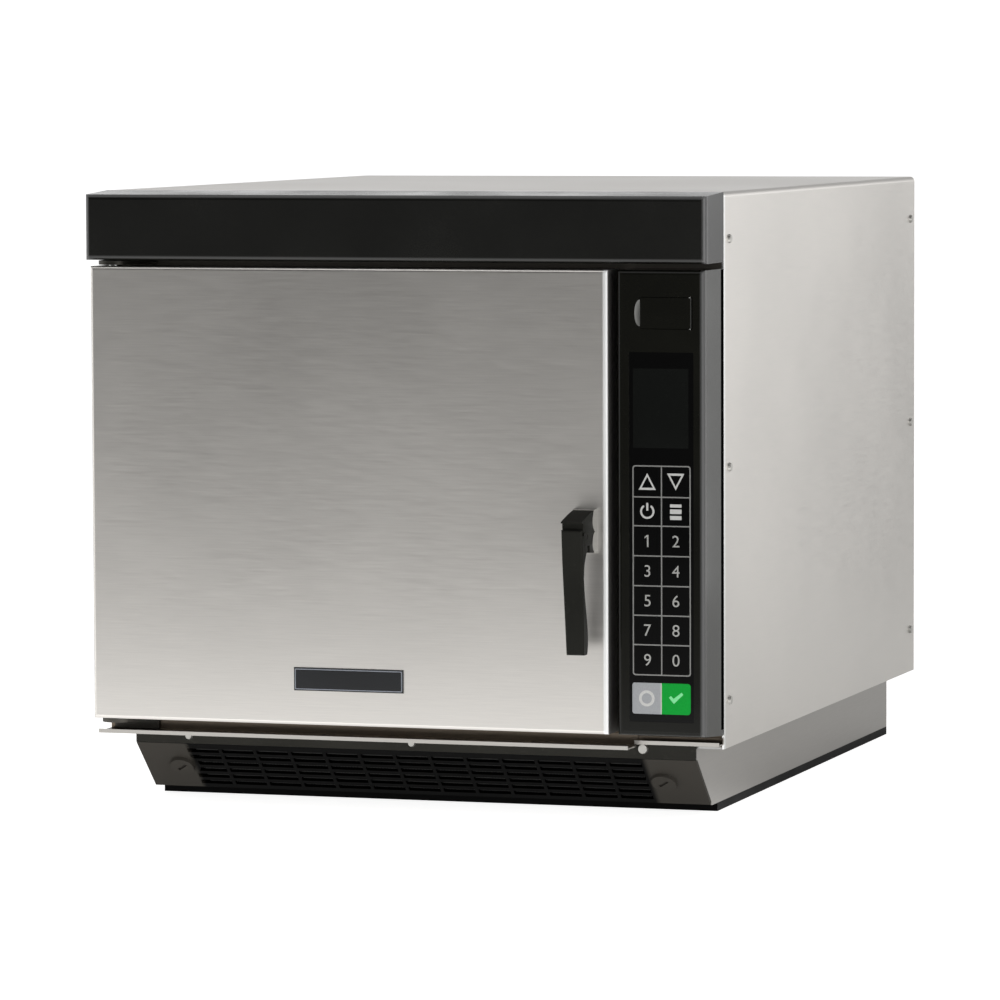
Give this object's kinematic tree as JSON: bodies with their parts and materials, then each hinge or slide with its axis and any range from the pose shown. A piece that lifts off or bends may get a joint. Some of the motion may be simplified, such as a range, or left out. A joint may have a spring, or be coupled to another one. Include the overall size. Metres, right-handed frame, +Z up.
{
  "type": "speed oven",
  "caption": "Countertop speed oven: steel cabinet on a plinth, side-hinged solid door with lever handle, keypad panel, rack, fan heater and microwave parts.",
  "frame": {"origin": "on the surface the oven stands on, under the middle of the cabinet's width and depth", "axes": "+X to the right, +Y to the back, +Z up; the door faces -Y"},
  "size_m": [0.4926, 0.686, 0.469],
  "materials": {
    "stainless": "horizontal brushed grain",
    "frame_steel": "satin",
    "cavity_steel": "satin",
    "galvanised": "satin, zinc coated",
    "black_plastic": "fine moulded texture",
    "glossy_black": "smooth film",
    "badge": "smooth, bare",
    "bright_metal": "bright",
    "aluminium": "cast and sheet",
    "motor_black": "satin",
    "heater": "oxidised sheath",
    "rubber": "matte",
    "mesh": "fine mesh",
    "insulation": "fibre blanket",
    "ceramic": "unglazed",
    "circuit": "solder mask"
  },
  "bodies": {
    "cabinet": {"antenna_cover": "ceramic", "antenna_motors": "motor_black", "base_plate": "black_plastic", "base_rail": "black_plastic", "base_skirts": "galvanised", "blower_housing": "galvanised", "blower_motor": "motor_black", "cabinet_screws": "bright_metal", "capacitors": "aluminium", "cavity": "cavity_steel", "cavity_insulation": "insulation", "ceramic_floor": "ceramic", "chassis_pan": "galvanised", "control_bezel": "black_plastic", "control_board": "circuit", "convection_motor": "motor_black", "cord_gland": "rubber", "display_module": "glossy_black", "door_switches": "circuit", "fan_baffle": "cavity_steel", "feet": "rubber", "front_frame": "frame_steel", "front_ledges": "stainless", "hinge_arms": "frame_steel", "hinge_pins": "bright_metal", "interlock_channel": "frame_steel", "key_overlay": "glossy_black", "magnetrons": "aluminium", "rear_panel": "frame_steel", "relay_board": "circuit", "ring_heater": "heater", "transformers": "galvanised", "usb_pin": "bright_metal", "usb_socket": "bright_metal", "visor": "black_plastic", "waveguides": "galvanised", "wrapper": "stainless"},
    "door": {"door_shell": "stainless", "door_inner": "frame_steel", "choke_cover": "black_plastic", "door_seal": "rubber", "badge_plate": "badge", "hinge_bushes": "rubber", "handle_bracket": "bright_metal", "handle_block": "black_plastic", "handle_pin": "bright_metal", "latch_guides": "galvanised", "latch_spring": "bright_metal"},
    "handle": {"handle_lever": "black_plastic"},
    "latch": {"latch_bar": "bright_metal"},
    "port_cover": {"usb_cover": "black_plastic"},
    "filter": {"intake_grille": "black_plastic", "filter_mesh": "mesh", "grille_knobs": "black_plastic"},
    "rack": {"oven_rack": "cavity_steel"},
    "fan": {"convection_fan": "aluminium"},
    "blower": {"blower_wheel": "motor_black"},
    "upper_stirrer": {"upper_antenna": "aluminium"},
    "lower_stirrer": {"lower_antenna": "aluminium"}
  },
  "joints": [
    {"name": "door_swing", "type": "hinge", "parent": "cabinet", "child": "door", "pos_m": [-0.228, -0.3285, 0.24], "axis": [0, 0, -1], "range_deg": [0, 115]},
    {"name": "handle_pull", "type": "hinge", "parent": "door", "child": "handle", "pos_m": [0.1522, -0.3715, 0.217], "axis": [-1, 0, 0], "range_deg": [0, 11], "stiffness_Nm_per_rad": 2, "springref_deg": -6.88},
    {"name": "latch_slide", "type": "slide", "parent": "door", "child": "latch", "axis": [0, 0, -1], "range_m": [0, 0.0084], "stiffness_N_per_m": 40, "springref_m": -0.012, "deforming": ["latch_spring"]},
    {"name": "port_cover_hinge", "type": "hinge", "parent": "cabinet", "child": "port_cover", "pos_m": [0.2316, -0.3449, 0.3808], "axis": [0, 0, 1], "range_deg": [0, 100]},
    {"name": "filter_pull", "type": "slide", "parent": "cabinet", "child": "filter", "axis": [0, -1, 0], "range_m": [0, 0.06]},
    {"name": "rack_slide", "type": "slide", "parent": "cabinet", "child": "rack", "axis": [0, -1, 0], "range_m": [0, 0.0604]},
    {"name": "convection_fan_spin", "type": "hinge", "parent": "cabinet", "child": "fan", "pos_m": [-0.035, 0.124, 0.24], "axis": [0, 1, 0], "continuous": true},
    {"name": "blower_spin", "type": "hinge", "parent": "cabinet", "child": "blower", "pos_m": [-0.142, 0.2216, 0.1115], "axis": [0, 0, 1], "continuous": true},
    {"name": "upper_antenna_spin", "type": "hinge", "parent": "cabinet", "child": "upper_stirrer", "pos_m": [-0.035, -0.1065, 0.3735], "axis": [0, 0, 1], "continuous": true},
    {"name": "lower_antenna_spin", "type": "hinge", "parent": "cabinet", "child": "lower_stirrer", "pos_m": [-0.035, -0.1065, 0.1065], "axis": [0, 0, 1], "continuous": true}
  ],
  "couplings": [
    {"joint": "latch_slide", "follows": "handle_pull", "m_per_rad": 0.043232},
    {"joint": "rack_slide", "follows": "door_swing", "m_per_rad": 0.03}
  ]
}
